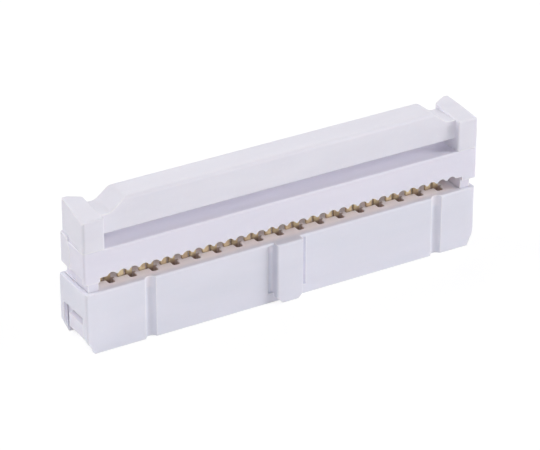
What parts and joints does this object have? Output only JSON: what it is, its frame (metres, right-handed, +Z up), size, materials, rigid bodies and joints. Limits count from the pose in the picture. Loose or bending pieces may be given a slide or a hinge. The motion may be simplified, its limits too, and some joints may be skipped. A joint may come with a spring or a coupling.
{
  "type": "insulation displacement connector",
  "caption": "Long low ribbon cable socket with insulation displacement forks, a press-down cable cover, a clip-on strain relief bar and a polarising key.",
  "frame": {"origin": "middle of the housing's flat mating face, which the part stands on", "axes": "+X along the contact rows, -Y the side with the polarising key, +Z up from the mating face to the strain relief"},
  "size_m": [0.0484, 0.0068, 0.0168],
  "materials": {
    "moulded_plastic": "fine satin, as moulded",
    "contact_bronze": "bright stamped strip with a thin gold flash"
  },
  "bodies": {
    "housing": {"housing": "moulded_plastic", "contact_a01": "contact_bronze", "contact_a02": "contact_bronze", "contact_a03": "contact_bronze", "contact_a04": "contact_bronze", "contact_a05": "contact_bronze", "contact_a06": "contact_bronze", "contact_a07": "contact_bronze", "contact_a08": "contact_bronze", "contact_a09": "contact_bronze", "contact_a10": "contact_bronze", "contact_a11": "contact_bronze", "contact_a12": "contact_bronze", "contact_a13": "contact_bronze", "contact_a14": "contact_bronze", "contact_a15": "contact_bronze", "contact_a16": "contact_bronze", "contact_a17": "contact_bronze", "contact_b01": "contact_bronze", "contact_b02": "contact_bronze", "contact_b03": "contact_bronze", "contact_b04": "contact_bronze", "contact_b05": "contact_bronze", "contact_b06": "contact_bronze", "contact_b07": "contact_bronze", "contact_b08": "contact_bronze", "contact_b09": "contact_bronze", "contact_b10": "contact_bronze", "contact_b11": "contact_bronze", "contact_b12": "contact_bronze", "contact_b13": "contact_bronze", "contact_b14": "contact_bronze", "contact_b15": "contact_bronze", "contact_b16": "contact_bronze", "contact_b17": "contact_bronze"},
    "cover": {"cover": "moulded_plastic", "strain_relief": "moulded_plastic"}
  },
  "joints": [
    {"name": "cover_press", "type": "slide", "parent": "housing", "child": "cover", "axis": [0, 0, 1], "range_m": [-0.00105, 0.0006]}
  ]
}
